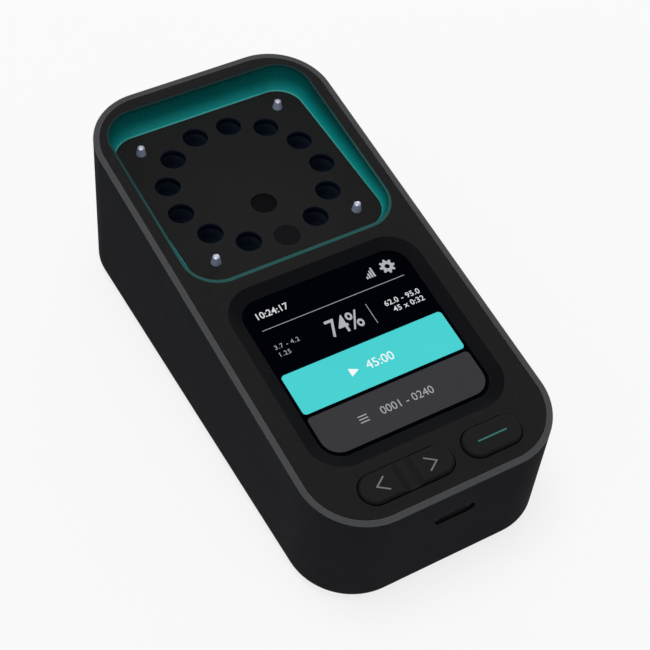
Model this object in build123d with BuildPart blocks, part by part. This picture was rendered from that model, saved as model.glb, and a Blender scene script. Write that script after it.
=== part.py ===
from build123d import *
from math import cos, radians, sin, sqrt, tan
import os

# A hand-held analyzer: a wedge-shaped case with a ring of tube wells, a display and keys.
# Millimetres. X runs across, -Y is the front with the socket, +Y the back with the wells,
# +Z is up. The origin lies under the middle of the part, on the surface it stands on.

# Case
case_width = 61.0
case_length = 124.0
case_height = 42.6
case_corner = 15.0
top_slope = 5.9
wall = 2.4
base_round = 2.0
fit = 0.1
run_gap = 0.3

# Rim and top panel
rim_width = 1.43
rim_edge = 0.25
rim_lip = 0.6
rim_chamfer = 0.12
panel_thickness = 1.6

# Pocket, deck and wells
pocket_side_room = 3.8
pocket_back_room = 4.1
pocket_corner = 8.5
liner_lip = 0.6
liner_floor = 1.2
liner_flange_width = 1.5
liner_flange = 1.0
bowl_radius = 5.0
bowl_inset = 1.4
deck_drop = 7.8
deck_thickness = 1.6
ring_margin = 2.8
ring_places = 13
well_radius = 3.1
tube_radius = 3.0
tube_straight = 3.2
tube_cone = 8.8
tube_taper = 8.75
block_height = 13.0
block_skin = 1.4
window_offset = 7.7
window_drop = 0.3
pin_inset_x = 6.3
pin_inset_y = 5.7
pin_base = 1.2
pin_tip = 0.8
pin_dome = 0.15
pin_height = 2.1
pin_shank = 0.6

# Optics, cooler and fan under the wells
optics_board_thickness = 1.2
hub_notch_depth = 1.0
hub_notch_width = 1.2
cooler_step = 3.0
cooler_thickness = 3.6
cooler_plate = 0.8
cooler_margin = 1.5
sink_side_room = 5.1
sink_base = 2.2
fin_height = 4.2
fin_thickness = 1.0
fin_pitch = 3.0
fan_step = 3.0
fan_rim = 1.0
fan_corner = 3.0
fan_wall = 0.8
blade_gap = 0.8
rotor_hub = 8.5
rotor_cup = 0.9
motor_radius = 6.8
blade_count = 7
blade_thickness = 0.9
blade_pitch = 32.0
blade_fill = 0.7
spoke_width = 2.0
spoke_count = 3
spoke_angle = 30.0
shaft_radius = 1.0

# Display
display_gap = 2.9
glass_width = 42.2
glass_corner = 5.0
glass_thickness = 0.9
recess_depth = 1.0
recess_bevel = 3.1
screen_margin = 1.1
screen_thickness = 2.6
frame_wall = 2.0
frame_floor = 1.2
frame_window_margin = 5.0

# Keys
keys_front_room = 4.5
keys_left_room = 10.75
keys_right_room = 10.45
keys_space = 2.9
key_width = 7.2
key_gap = 0.25
key_proud = 0.75
key_round = 0.6
key_thickness = 2.15
key_travel = 0.6
key_skirt = 0.9
skirt_thickness = 0.6
valley_width = 5.0
valley_depth = 0.55
select_length = 14.3
mark_depth = 0.25
mark_line = 0.32
chevron_width = 2.4
chevron_height = 3.3
chevron_inset = 5.2
light_length = 7.3
light_line = 0.36
pivot_depth = 3.3
pivot_radius = 0.6
pivot_clearance = 0.08
pivot_boss = 1.2
plunger_radius = 1.2
plunger_inset = 3.8
bracket_width = 1.3
bracket_height = 3.8
pad_thickness = 0.6
dome_height = 0.5
dome_radius = 2.2
dome_slope = 30.0
key_board_thickness = 1.0

# Socket and boards
socket_drop = 8.8
socket_mouth_width = 10.2
socket_mouth_height = 2.6
socket_width = 8.94
socket_height = 3.26
socket_length = 7.3
socket_recess = 0.8
socket_skin = 0.3
tongue_width = 6.7
tongue_height = 0.7
board_thickness = 1.6
board_back_room = 9.2
post_radius = 2.2
post_side_room = 3.5
post_front_room = 22.0
post_back_room = 5.0
screw_radius = 1.0
board_screw_head = 1.9
board_screw_head_height = 1.2
board_screw_length = 4.8
chip_height = 1.2
processor_size = 14.0
processor_back = 25.0
radio_width = 9.0
radio_length = 12.0
radio_x = -15.0
radio_back = 13.0
charger_size = 8.0
charger_x = 14.0
charger_back = 37.0
battery_side_room = 1.9
battery_back_room = 11.2
battery_front_room = 9.6
battery_top_room = 3.6
battery_corner = 3.0

# Base
foot_drop = 1.2
foot_sink = 0.8
foot_radius = 4.0
foot_side_room = 10.5
foot_end_room = 19.0
cover_thickness = 2.0
boss_radius = 3.8
boss_room = 0.8
boss_reach = 9.2
boss_closed_end = 1.0
base_screw_radius = 1.25
base_screw_head = 2.4
base_screw_head_height = 1.2
vent_width = 2.0
vent_pitch = 4.0
vent_height = 6.0
back_vents = 7

# Places and sizes that follow from those above: the pocket, its deck and the ring of wells
slope = radians(top_slope)
front_height = case_height - case_length * tan(slope)
cover_top = foot_drop + cover_thickness
pocket_size = case_width - 2 * pocket_side_room
ring_y = case_length / 2 - pocket_back_room - pocket_size / 2
deck_z = case_height - deck_drop
deck_half = pocket_size / 2 - liner_lip - bowl_inset
ring_radius = deck_half - ring_margin - well_radius
ring_step = 360 / ring_places
blank_angle = -90.0
pin_spacing_x = 2 * (deck_half - pin_inset_x)
pin_spacing_y = 2 * (deck_half - pin_inset_y)

# The stack under the deck: block, cooler, heat sink and fan
block_top = deck_z - deck_thickness
block_radius = ring_radius + tube_radius + block_skin
block_bore = ring_radius - tube_radius - block_skin
cooler_top = block_top - block_height
sink_top = cooler_top - cooler_thickness
fan_top = sink_top - sink_base - fin_height
sink_size = case_width - 2 * (wall + sink_side_room)
cooler_size = sink_size - 2 * cooler_step
fan_size = sink_size - 2 * fan_step
fan_duct = fan_size / 2 - fan_rim
rotor_radius = fan_duct - blade_gap
boss_height = fan_top - cover_top - boss_room

# The keys stand a fixed way from the front and the sides
keys_y = keys_front_room + key_width / 2 - case_length / 2
rocker_length = case_width - keys_left_room - keys_right_room - keys_space - select_length
rocker_x = keys_left_room + rocker_length / 2 - case_width / 2
select_x = case_width / 2 - keys_right_room - select_length / 2
plunger_offset = rocker_length / 2 - plunger_inset
pad_top_depth = panel_thickness + bracket_height - pad_thickness
plunger_depth = pad_top_depth - dome_height - key_travel - fit
keys_back = keys_y + key_width / 2 + key_gap + fit + bracket_width

# The display fills what the pocket and the keys leave of the panel
recess_back = ring_y - pocket_size / 2 - display_gap
recess_front = keys_y + key_width / 2 + display_gap
glass_length = recess_back - recess_front - 2 * (fit + recess_bevel)
display_y = (recess_back + recess_front) / 2

# The board carries the socket, and the battery fills the room under the board
socket_z = front_height - socket_drop
board_top = socket_z - socket_height / 2
board_bottom = board_top - board_thickness
board_back = ring_y - sink_size / 2 - board_back_room
post_x = case_width / 2 - wall - post_side_room
battery_back = ring_y - fan_size / 2 - battery_back_room
battery_front = wall + battery_front_room - case_length / 2
battery_width = 2 * (post_x - post_radius - battery_side_room)
battery_length = battery_back - battery_front
battery_height = board_bottom - cover_top - battery_top_room


def top_z(y):
    """Height of the sloping top face at a place along the case."""
    return case_height - (case_length / 2 - y) * tan(slope)


def on_top(y, depth=0.0):
    """A plane parallel to the top face, at a place along the case and a depth below the face."""
    face = Plane(origin=(0, y, top_z(y)), x_dir=(1, 0, 0), z_dir=(0, -sin(slope), cos(slope)))
    return face.offset(-depth)


def level(y, z):
    """A level plane at a place along the case."""
    return Plane(origin=(0, y, z), x_dir=(1, 0, 0), z_dir=(0, 0, 1))


def across_keys():
    """A plane square to the top face through the keys, looking along the case."""
    return Plane(origin=(0, keys_y, top_z(keys_y)), x_dir=(1, 0, 0),
                 z_dir=(0, -cos(slope), -sin(slope)))


def top_face(piece):
    """The face that lies highest above the sloping plane."""
    return piece.faces().sort_by(Axis((0, 0, 0), (0, -sin(slope), cos(slope))))[-1]


def case_block(inset, top_depth, bottom_depth):
    """The case's own outline, drawn in all round, between two depths below the top face."""
    with BuildPart() as block:
        with BuildSketch(Plane.XY):
            RectangleRounded(case_width - 2 * inset, case_length - 2 * inset, case_corner - inset)
        extrude(amount=2 * case_height)
        split(bisect_by=on_top(0, top_depth), keep=Keep.BOTTOM)
        split(bisect_by=on_top(0, bottom_depth), keep=Keep.TOP)
    return block.part


def case_end(inset, top_depth, bottom_depth, y, keep):
    """Part of such a block: what lies in front of (BOTTOM) or behind (TOP) a place along the case."""
    whole = case_block(inset, top_depth, bottom_depth)
    with BuildPart() as end:
        add(whole)
        split(bisect_by=Plane(origin=(0, y, 0), x_dir=(1, 0, 0), z_dir=(0, 1, 0)), keep=keep)
    return end.part


def boss_points():
    """The four corners where the base cover is screwed to the shell."""
    reach = boss_reach / sqrt(2)
    x = case_width / 2 - case_corner + reach
    y = case_length / 2 - case_corner + reach
    return [(x, y), (-x, y), (x, -y), (-x, -y)]


def foot_places():
    """The four feet, a fixed way in from the sides and the ends."""
    return GridLocations(case_width - 2 * foot_side_room, case_length - 2 * foot_end_room, 2, 2)


def post_points():
    """The four posts that carry the main board."""
    front = post_front_room - case_length / 2
    back = board_back - post_back_room
    return [(-post_x, front), (post_x, front), (-post_x, back), (post_x, back)]


def well_places():
    """The ring's places without the front one, which stays closed."""
    return PolarLocations(ring_radius, ring_places - 1, start_angle=blank_angle + ring_step,
                          angular_range=360 - 2 * ring_step, endpoint=True)


# Case shell: the walls, with a seat for the rim, four bosses, the socket's slot and back vents
def make_case_shell():
    seat = case_block(rim_lip, -case_height / 4, panel_thickness)
    with BuildPart() as shell:
        with BuildSketch(Plane.XY.offset(foot_drop)):
            RectangleRounded(case_width, case_length, case_corner)
        extrude(amount=case_height)
        fillet(shell.edges().group_by(Axis.Z)[0], base_round)
        split(bisect_by=on_top(0, rim_edge), keep=Keep.BOTTOM)
        with BuildSketch(Plane.XY):
            RectangleRounded(case_width - 2 * wall, case_length - 2 * wall, case_corner - wall)
        extrude(amount=2 * case_height, mode=Mode.SUBTRACT)
        add(seat, mode=Mode.SUBTRACT)
        with BuildSketch(Plane.XY.offset(cover_top)):
            with Locations(*boss_points()):
                Circle(boss_radius)
        extrude(amount=boss_height)
        with BuildSketch(Plane.XY.offset(cover_top)):
            with Locations(*boss_points()):
                Circle(base_screw_radius)
        extrude(amount=boss_height - boss_closed_end, mode=Mode.SUBTRACT)
        with BuildSketch(Plane.XZ.offset(case_length / 2)):
            with Locations((0, socket_z)):
                SlotOverall(socket_mouth_width, socket_mouth_height)
        extrude(amount=-2 * wall, mode=Mode.SUBTRACT)
        with BuildSketch(Plane.XZ.offset(case_length / 2 - socket_recess + fit)):
            with Locations((0, socket_z)):
                SlotOverall(socket_width + 2 * fit, socket_height + 2 * fit)
        extrude(amount=-2 * wall, mode=Mode.SUBTRACT)
        with BuildSketch(Plane.XZ.offset(-case_length / 2)):
            with Locations((0, fan_top + vent_height / 2)):
                with GridLocations(vent_pitch, 0, back_vents, 1):
                    SlotOverall(vent_height, vent_width, rotation=90)
        extrude(amount=2 * wall, mode=Mode.SUBTRACT)
    return shell.part


# Rim: a pale ring whose top shows, with a tongue in the shell's seat
def make_rim_trim():
    crown = case_block(0, 0, rim_edge)
    tongue = case_block(rim_lip + fit, 0, panel_thickness)
    with BuildPart() as rim:
        add(crown)
        add(tongue)
        with BuildSketch(Plane.XY):
            RectangleRounded(case_width - 2 * rim_width, case_length - 2 * rim_width,
                             case_corner - rim_width)
        extrude(amount=2 * case_height, mode=Mode.SUBTRACT)
        chamfer(top_face(rim).outer_wire().edges(), rim_chamfer)
    return rim.part


# Top panel: the pocket's opening, the bevelled display recess and the two key openings
def make_top_panel():
    blank = case_block(rim_width + fit, 0, panel_thickness)
    with BuildPart() as panel:
        add(blank)
        with BuildSketch(level(ring_y, 0)):
            RectangleRounded(pocket_size + 2 * fit, pocket_size + 2 * fit, pocket_corner + fit)
        extrude(amount=2 * case_height, mode=Mode.SUBTRACT)
        with BuildSketch(on_top(display_y)):
            RectangleRounded(glass_width + 2 * fit + 2 * recess_bevel,
                             glass_length + 2 * fit + 2 * recess_bevel,
                             glass_corner + recess_bevel)
        with BuildSketch(on_top(display_y, recess_depth)):
            RectangleRounded(glass_width + 2 * fit, glass_length + 2 * fit, glass_corner + fit)
        loft(mode=Mode.SUBTRACT)
        with BuildSketch(on_top(display_y, recess_depth)):
            RectangleRounded(glass_width + 2 * fit, glass_length + 2 * fit, glass_corner + fit)
        extrude(amount=-panel_thickness, mode=Mode.SUBTRACT)
        with BuildSketch(on_top(keys_y)):
            with Locations((rocker_x, 0)):
                SlotOverall(rocker_length + 2 * key_gap, key_width + 2 * key_gap)
            with Locations((select_x, 0)):
                SlotOverall(select_length + 2 * key_gap, key_width + 2 * key_gap)
        extrude(amount=-2 * panel_thickness, mode=Mode.SUBTRACT)
    return panel.part


def make_bowl():
    """The pocket's hollow: upright sides that sweep in by an arc and stop at the deck."""
    sink = bowl_radius - sqrt(bowl_radius ** 2 - (bowl_radius - bowl_inset) ** 2)
    side = pocket_size - 2 * liner_lip
    with BuildPart() as bowl:
        with BuildSketch(level(ring_y, deck_z - sink)):
            RectangleRounded(side, side, pocket_corner - liner_lip)
        extrude(amount=case_height)
        fillet(bowl.edges().group_by(Axis.Z)[0], bowl_radius)
        split(bisect_by=level(ring_y, deck_z), keep=Keep.TOP)
    return bowl.part


# Pocket liner: a bright tray whose lip lies flush in the panel and whose floor carries the deck
def make_pocket_liner():
    bowl = make_bowl()
    flange = case_end(wall + run_gap, panel_thickness, panel_thickness + liner_flange,
                      ring_y - pocket_size / 2 - liner_flange_width, Keep.TOP)
    with BuildPart() as liner:
        with BuildSketch(level(ring_y, block_top - liner_floor)):
            RectangleRounded(pocket_size, pocket_size, pocket_corner)
        extrude(amount=case_height)
        split(bisect_by=on_top(ring_y), keep=Keep.BOTTOM)
        add(flange)
        add(bowl, mode=Mode.SUBTRACT)
        with BuildSketch(level(ring_y, block_top)):
            RectangleRounded(2 * deck_half, 2 * deck_half, pocket_corner - liner_lip - bowl_inset)
        extrude(amount=deck_thickness, mode=Mode.SUBTRACT)
        with BuildSketch(level(ring_y, block_top)):
            Circle(block_radius + run_gap)
        extrude(amount=-2 * liner_floor, mode=Mode.SUBTRACT)
    return liner.part


# Well plate: the level deck, with the ring of holes, the window's hole and the pins' holes
def make_well_plate():
    side = 2 * (deck_half - fit)
    with BuildPart() as plate:
        with BuildSketch(level(ring_y, block_top)):
            RectangleRounded(side, side, pocket_corner - liner_lip - bowl_inset - fit)
            with PolarLocations(ring_radius, ring_places, start_angle=blank_angle):
                Circle(well_radius, mode=Mode.SUBTRACT)
            with Locations((0, -window_offset)):
                Circle(well_radius, mode=Mode.SUBTRACT)
            with GridLocations(pin_spacing_x, pin_spacing_y, 2, 2):
                Circle(pin_shank, mode=Mode.SUBTRACT)
        extrude(amount=deck_thickness)
    return plate.part


# Reference disc: fills the ring's front place, flush with the deck
def make_reference_disc():
    with BuildPart() as disc:
        with BuildSketch(level(ring_y, block_top)):
            with Locations((0, -ring_radius)):
                Circle(well_radius - fit)
        extrude(amount=deck_thickness)
    return disc.part


# Sensor window: stands on the optics board, a little below the deck
def make_sensor_window():
    with BuildPart() as window:
        with BuildSketch(level(ring_y, block_top)):
            with Locations((0, -window_offset)):
                Circle(well_radius - fit)
        extrude(amount=deck_thickness - window_drop)
    return window.part


# Guide pins: a stub cone with a slightly domed top, pressed into the deck at four corners
def make_guide_pins():
    shoulder = pin_height - pin_dome
    dome_curve = (pin_tip ** 2 + pin_dome ** 2) / (2 * pin_dome)
    with BuildPart() as pin:
        with BuildSketch(Plane.XZ):
            with BuildLine():
                Polyline((0, -deck_thickness), (pin_shank, -deck_thickness), (pin_shank, 0),
                         (pin_base, 0), (pin_tip, shoulder))
                RadiusArc((pin_tip, shoulder), (0, pin_height), -dome_curve)
                Line((0, pin_height), (0, -deck_thickness))
            make_face()
        revolve(axis=Axis.Z)
    with BuildPart(level(ring_y, deck_z)) as pins:
        with GridLocations(pin_spacing_x, pin_spacing_y, 2, 2):
            add(pin.part)
    return pins.part


# Thermal block: a ring of metal with twelve tapered wells
def make_thermal_block():
    with BuildPart() as block:
        with BuildSketch(level(ring_y, block_top)):
            Circle(block_radius)
            Circle(block_bore, mode=Mode.SUBTRACT)
        extrude(amount=-block_height)
        with BuildSketch(level(ring_y, block_top)):
            with well_places():
                Circle(tube_radius)
        extrude(amount=-tube_straight, mode=Mode.SUBTRACT)
        with BuildSketch(level(ring_y, block_top - tube_straight)):
            with well_places():
                Circle(tube_radius)
        extrude(amount=-tube_cone, taper=tube_taper, mode=Mode.SUBTRACT)
    return block.part


# Optics hub: a dark plug in the block's bore, with a board on it under the window
def make_optics_hub():
    with BuildPart() as hub:
        with BuildSketch(level(ring_y, cooler_top)):
            Circle(block_bore - run_gap)
        extrude(amount=block_height - optics_board_thickness)
        with BuildSketch(level(ring_y, block_top - optics_board_thickness)):
            with PolarLocations(block_bore - run_gap, ring_places - 1):
                Rectangle(2 * hub_notch_depth, hub_notch_width)
        extrude(amount=-block_height / 2, mode=Mode.SUBTRACT)
    return hub.part


def make_optics_board():
    with BuildPart() as board:
        with BuildSketch(level(ring_y, block_top - optics_board_thickness)):
            Circle(block_bore - run_gap)
            with GridLocations(block_bore, 0, 2, 1):
                Circle(screw_radius, mode=Mode.SUBTRACT)
        extrude(amount=optics_board_thickness)
    return board.part


# Cooler: two ceramic plates with the pellets between them
def make_cooler():
    core = cooler_size - 2 * cooler_margin
    with BuildPart() as cooler:
        with BuildSketch(level(ring_y, sink_top)):
            Rectangle(cooler_size, cooler_size)
        extrude(amount=cooler_plate)
        with BuildSketch(level(ring_y, sink_top)):
            Rectangle(core, core)
        extrude(amount=cooler_thickness)
        with BuildSketch(level(ring_y, cooler_top)):
            Rectangle(cooler_size, cooler_size)
        extrude(amount=-cooler_plate)
    return cooler.part


# Heat sink: a base with fins that run to the back vents
def make_heat_sink():
    fins = int((sink_size - fin_thickness) / fin_pitch) + 1
    with BuildPart() as sink:
        with BuildSketch(level(ring_y, sink_top)):
            Rectangle(sink_size, sink_size)
        extrude(amount=-sink_base)
        with BuildSketch(level(ring_y, sink_top - sink_base)):
            with GridLocations(fin_pitch, 0, fins, 1):
                Rectangle(fin_thickness, sink_size)
        extrude(amount=-fin_height)
    return sink.part


# Fan: a square frame with a duct, spokes and a motor post, and a bladed rotor
def make_fan_frame():
    with BuildPart() as frame:
        with BuildSketch(level(ring_y, cover_top)):
            RectangleRounded(fan_size, fan_size, fan_corner)
            Circle(fan_duct, mode=Mode.SUBTRACT)
        extrude(amount=fan_top - cover_top)
        with BuildSketch(level(ring_y, cover_top)):
            Circle(motor_radius)
            with PolarLocations(fan_duct / 2, spoke_count, start_angle=spoke_angle):
                Rectangle(fan_duct + fan_wall, spoke_width)
        extrude(amount=fan_wall)
        with BuildSketch(level(ring_y, cover_top)):
            Circle(motor_radius - rotor_cup)
            Circle(shaft_radius + pivot_clearance, mode=Mode.SUBTRACT)
        extrude(amount=(fan_top - cover_top) / 2)
    return frame.part


def make_fan_rotor():
    low = cover_top + fan_wall + run_gap
    high = fan_top - run_gap
    with BuildPart() as rotor:
        with BuildSketch(level(ring_y, low)):
            Circle(rotor_hub)
            Circle(rotor_hub - rotor_cup, mode=Mode.SUBTRACT)
        extrude(amount=high - low)
        with BuildSketch(level(ring_y, high)):
            Circle(rotor_hub)
        extrude(amount=-rotor_cup)
        with BuildSketch(level(ring_y, high)):
            Circle(shaft_radius)
        extrude(amount=low - high)
        blade = rotor_radius - rotor_hub + rotor_cup / 2
        middle = (rotor_radius + rotor_hub - rotor_cup / 2) / 2
        chord = blade_fill * (high - low) / sin(radians(blade_pitch))
        for i in range(blade_count):
            turn = Rotation(0, 0, i * 360 / blade_count)
            place = Location((0, ring_y, (low + high) / 2)) * turn * Location((middle, 0, 0))
            with Locations(place * Rotation(blade_pitch, 0, 0)):
                Box(blade, chord, blade_thickness)
    return rotor.part


# Display: a cover glass at the foot of the bevel, the screen behind it and a frame
def make_display_glass():
    with BuildPart() as glass:
        with BuildSketch(on_top(display_y, recess_depth)):
            RectangleRounded(glass_width, glass_length, glass_corner)
        extrude(amount=-glass_thickness)
    return glass.part


def make_display_screen():
    with BuildPart() as screen:
        with BuildSketch(on_top(display_y, recess_depth + glass_thickness)):
            Rectangle(glass_width + 2 * screen_margin, glass_length + 2 * screen_margin)
        extrude(amount=-screen_thickness)
    return screen.part


def make_display_frame():
    inner_w = glass_width + 2 * (screen_margin + fit)
    inner_l = glass_length + 2 * (screen_margin + fit)
    screen_back = recess_depth + glass_thickness + screen_thickness
    with BuildPart() as frame:
        with BuildSketch(on_top(display_y, panel_thickness)):
            Rectangle(inner_w + 2 * frame_wall, inner_l + 2 * frame_wall)
        extrude(amount=-(screen_back + frame_floor - panel_thickness))
        with BuildSketch(on_top(display_y, panel_thickness)):
            Rectangle(inner_w, inner_l)
        extrude(amount=-(screen_back - panel_thickness), mode=Mode.SUBTRACT)
        with BuildSketch(on_top(display_y, screen_back)):
            Rectangle(inner_w - 2 * frame_window_margin, inner_l - 2 * frame_window_margin)
        extrude(amount=-2 * frame_floor, mode=Mode.SUBTRACT)
    return frame.part


# Page marks: a thin arrow head let into each end of the page rocker
def make_page_marks():
    reach = rocker_length / 2 - chevron_inset
    with BuildPart() as marks:
        with BuildSketch(on_top(keys_y, -key_proud)):
            for way in (-1, 1):
                tip = rocker_x + way * (reach + chevron_width / 2)
                tail = tip - way * chevron_width
                with BuildLine():
                    Polyline((tail, chevron_height / 2), (tip, 0), (tail, -chevron_height / 2))
                trace(line_width=mark_line)
        extrude(amount=-mark_depth)
    return marks.part


# Page rocker: one long key with a valley over its pivot and a plunger under each end
def make_page_rocker(marks):
    body_depth = key_thickness - key_proud
    valley = (valley_width / 2) ** 2 / (2 * valley_depth) + valley_depth / 2
    with BuildPart() as rocker:
        with BuildSketch(on_top(keys_y, body_depth)):
            with Locations((rocker_x, 0)):
                SlotOverall(rocker_length, key_width)
        extrude(amount=key_thickness)
        fillet(top_face(rocker).edges(), key_round)
        with BuildSketch(across_keys()):
            with Locations((rocker_x, key_proud + valley - valley_depth)):
                Circle(valley)
        extrude(amount=key_width, both=True, mode=Mode.SUBTRACT)
        with BuildSketch(on_top(keys_y, body_depth)):
            with GridLocations(2 * plunger_offset, 0, 2, 1):
                with Locations((rocker_x, 0)):
                    Circle(plunger_radius)
        extrude(amount=-(plunger_depth - body_depth))
        with BuildSketch(across_keys()):
            with Locations((rocker_x, -(body_depth + pivot_depth) / 2)):
                Rectangle(2 * pivot_boss, pivot_depth - body_depth)
            with Locations((rocker_x, -pivot_depth)):
                Circle(pivot_boss)
        extrude(amount=key_width / 2 - run_gap, both=True)
        with BuildSketch(across_keys()):
            with Locations((rocker_x, -pivot_depth)):
                Circle(pivot_radius + pivot_clearance)
        extrude(amount=key_width, both=True, mode=Mode.SUBTRACT)
        add(marks, mode=Mode.SUBTRACT)
    return rocker.part


def make_rocker_pin():
    half = key_width / 2 + key_gap + fit + bracket_width
    with BuildPart() as pin:
        with BuildSketch(across_keys()):
            with Locations((rocker_x, -pivot_depth)):
                Circle(pivot_radius)
        extrude(amount=half - fit, both=True)
    return pin.part


# Select key: a sliding key with a skirt under the panel and a light bar in its top
def make_select_light():
    with BuildPart() as light:
        with BuildSketch(on_top(keys_y, -key_proud)):
            with Locations((select_x, 0)):
                SlotOverall(light_length, light_line)
        extrude(amount=-mark_depth)
    return light.part


def make_select_key(light):
    skirt_top = panel_thickness + run_gap
    with BuildPart() as key:
        with BuildSketch(on_top(keys_y, skirt_top)):
            with Locations((select_x, 0)):
                SlotOverall(select_length, key_width)
        extrude(amount=skirt_top + key_proud)
        fillet(top_face(key).edges(), key_round)
        with BuildSketch(on_top(keys_y, skirt_top)):
            with Locations((select_x, 0)):
                SlotOverall(select_length + 2 * key_skirt, key_width)
        extrude(amount=-skirt_thickness)
        with BuildSketch(on_top(keys_y, skirt_top)):
            with Locations((select_x, 0)):
                Circle(plunger_radius)
        extrude(amount=-(plunger_depth - skirt_top))
        add(light, mode=Mode.SUBTRACT)
    return key.part


# Key bracket, pad and board: what the keys are carried by and press on
def keys_opening(gap):
    """One long opening round both keys, on the keys' plane."""
    left = rocker_x - rocker_length / 2 - key_gap - fit
    right = select_x + select_length / 2 + key_skirt + key_gap + fit
    with Locations(((left + right) / 2, 0)):
        SlotOverall(right - left - 2 * gap, key_width + 2 * (key_gap + fit) - 2 * gap)


def make_key_bracket():
    blank = case_end(wall + run_gap, panel_thickness, panel_thickness + bracket_height,
                     keys_back, Keep.BOTTOM)
    with BuildPart() as bracket:
        add(blank)
        with BuildSketch(on_top(keys_y)):
            keys_opening(0)
        extrude(amount=-2 * (panel_thickness + bracket_height), mode=Mode.SUBTRACT)
        with BuildSketch(across_keys()):
            with Locations((rocker_x, -pivot_depth)):
                Circle(pivot_radius)
        extrude(amount=key_width, both=True, mode=Mode.SUBTRACT)
    return bracket.part


def make_key_pad():
    with BuildPart() as pad:
        with BuildSketch(on_top(keys_y, pad_top_depth)):
            keys_opening(fit)
        extrude(amount=-pad_thickness)
        with BuildSketch(on_top(keys_y, pad_top_depth)):
            with Locations((rocker_x - plunger_offset, 0), (rocker_x + plunger_offset, 0),
                           (select_x, 0)):
                Circle(dome_radius)
        extrude(amount=dome_height, taper=dome_slope)
    return pad.part


def make_key_board():
    top_depth = panel_thickness + bracket_height
    return case_end(wall + run_gap, top_depth, top_depth + key_board_thickness, keys_back,
                    Keep.BOTTOM)


# Main board: follows the case's inside, carried on four posts, with its larger chips
def make_main_board():
    inset = wall + run_gap
    with BuildPart() as board:
        with BuildSketch(Plane.XY.offset(board_bottom)):
            RectangleRounded(case_width - 2 * inset, case_length - 2 * inset, case_corner - inset)
        extrude(amount=board_thickness)
        split(bisect_by=Plane(origin=(0, board_back, 0), x_dir=(1, 0, 0), z_dir=(0, 1, 0)),
              keep=Keep.BOTTOM)
        with BuildSketch(Plane.XY.offset(board_bottom)):
            with Locations(*post_points()):
                Circle(screw_radius)
        extrude(amount=board_thickness, mode=Mode.SUBTRACT)
        with BuildSketch(Plane.XY.offset(board_top)):
            with Locations((0, board_back - processor_back)):
                Rectangle(processor_size, processor_size)
            with Locations((radio_x, board_back - radio_back)):
                Rectangle(radio_width, radio_length)
            with Locations((charger_x, board_back - charger_back)):
                Rectangle(charger_size, charger_size)
        extrude(amount=chip_height)
    return board.part


def make_board_posts():
    with BuildPart() as posts:
        with BuildSketch(Plane.XY.offset(cover_top)):
            with Locations(*post_points()):
                RegularPolygon(post_radius, 6)
                Circle(screw_radius, mode=Mode.SUBTRACT)
        extrude(amount=board_bottom - cover_top)
    return posts.part


def make_board_screws():
    with BuildPart() as screws:
        with BuildSketch(Plane.XY.offset(board_top)):
            with Locations(*post_points()):
                Circle(board_screw_head)
        extrude(amount=board_screw_head_height)
        with BuildSketch(Plane.XY.offset(board_top)):
            with Locations(*post_points()):
                Circle(screw_radius)
        extrude(amount=-board_screw_length)
    return screws.part


# Socket: a folded shell on the board's front edge, with a tongue
def make_socket_shell():
    mouth = -case_length / 2 + socket_recess
    skin = socket_height - 2 * socket_skin
    with BuildPart() as shell:
        with BuildSketch(Plane.XZ.offset(-mouth)):
            with Locations((0, socket_z)):
                SlotOverall(socket_width, socket_height)
        extrude(amount=-socket_length)
        with BuildSketch(Plane.XZ.offset(-mouth)):
            with Locations((0, socket_z)):
                SlotOverall(socket_width - 2 * socket_skin, skin)
        extrude(amount=-(socket_length - 2 * socket_skin), mode=Mode.SUBTRACT)
    return shell.part


def make_socket_tongue():
    back = -case_length / 2 + socket_recess + socket_length - 2 * socket_skin
    with BuildPart() as tongue:
        with BuildSketch(Plane.XZ.offset(-back)):
            with Locations((0, socket_z)):
                Rectangle(tongue_width, tongue_height)
        extrude(amount=socket_length - 4 * socket_skin)
    return tongue.part


# Battery: a flat pack that lies on the cover
def make_battery_pack():
    with BuildPart() as pack:
        with BuildSketch(level((battery_back + battery_front) / 2, cover_top)):
            RectangleRounded(battery_width, battery_length, battery_corner)
        extrude(amount=battery_height)
        fillet(pack.edges().group_by(Axis.Z)[-1], battery_corner / 2)
    return pack.part


# Base cover: lies flush in the shell, with the fan's inlet slots, screw seats and foot seats
def make_base_cover():
    inset = wall + fit
    slots = int(2 * (fan_duct - vent_width) / vent_pitch / 2) * 2 + 1
    with BuildPart() as cover:
        with BuildSketch(Plane.XY.offset(foot_drop)):
            RectangleRounded(case_width - 2 * inset, case_length - 2 * inset, case_corner - inset)
        extrude(amount=cover_thickness)
        with BuildSketch(Plane.XY.offset(foot_drop)):
            for i in range(slots):
                x = (i - (slots - 1) / 2) * vent_pitch
                reach = sqrt((fan_duct - vent_width) ** 2 - x ** 2)
                with Locations((x, ring_y)):
                    SlotOverall(2 * reach + 2 * vent_width, vent_width, rotation=90)
        extrude(amount=cover_thickness, mode=Mode.SUBTRACT)
        with BuildSketch(Plane.XY.offset(foot_drop)):
            with Locations(*boss_points()):
                Circle(base_screw_head + fit)
        extrude(amount=base_screw_head_height, mode=Mode.SUBTRACT)
        with BuildSketch(Plane.XY.offset(foot_drop)):
            with Locations(*boss_points()):
                Circle(base_screw_radius + fit)
        extrude(amount=cover_thickness, mode=Mode.SUBTRACT)
        with BuildSketch(Plane.XY.offset(foot_drop)):
            with foot_places():
                Circle(foot_radius)
        extrude(amount=foot_sink, mode=Mode.SUBTRACT)
    return cover.part


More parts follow.
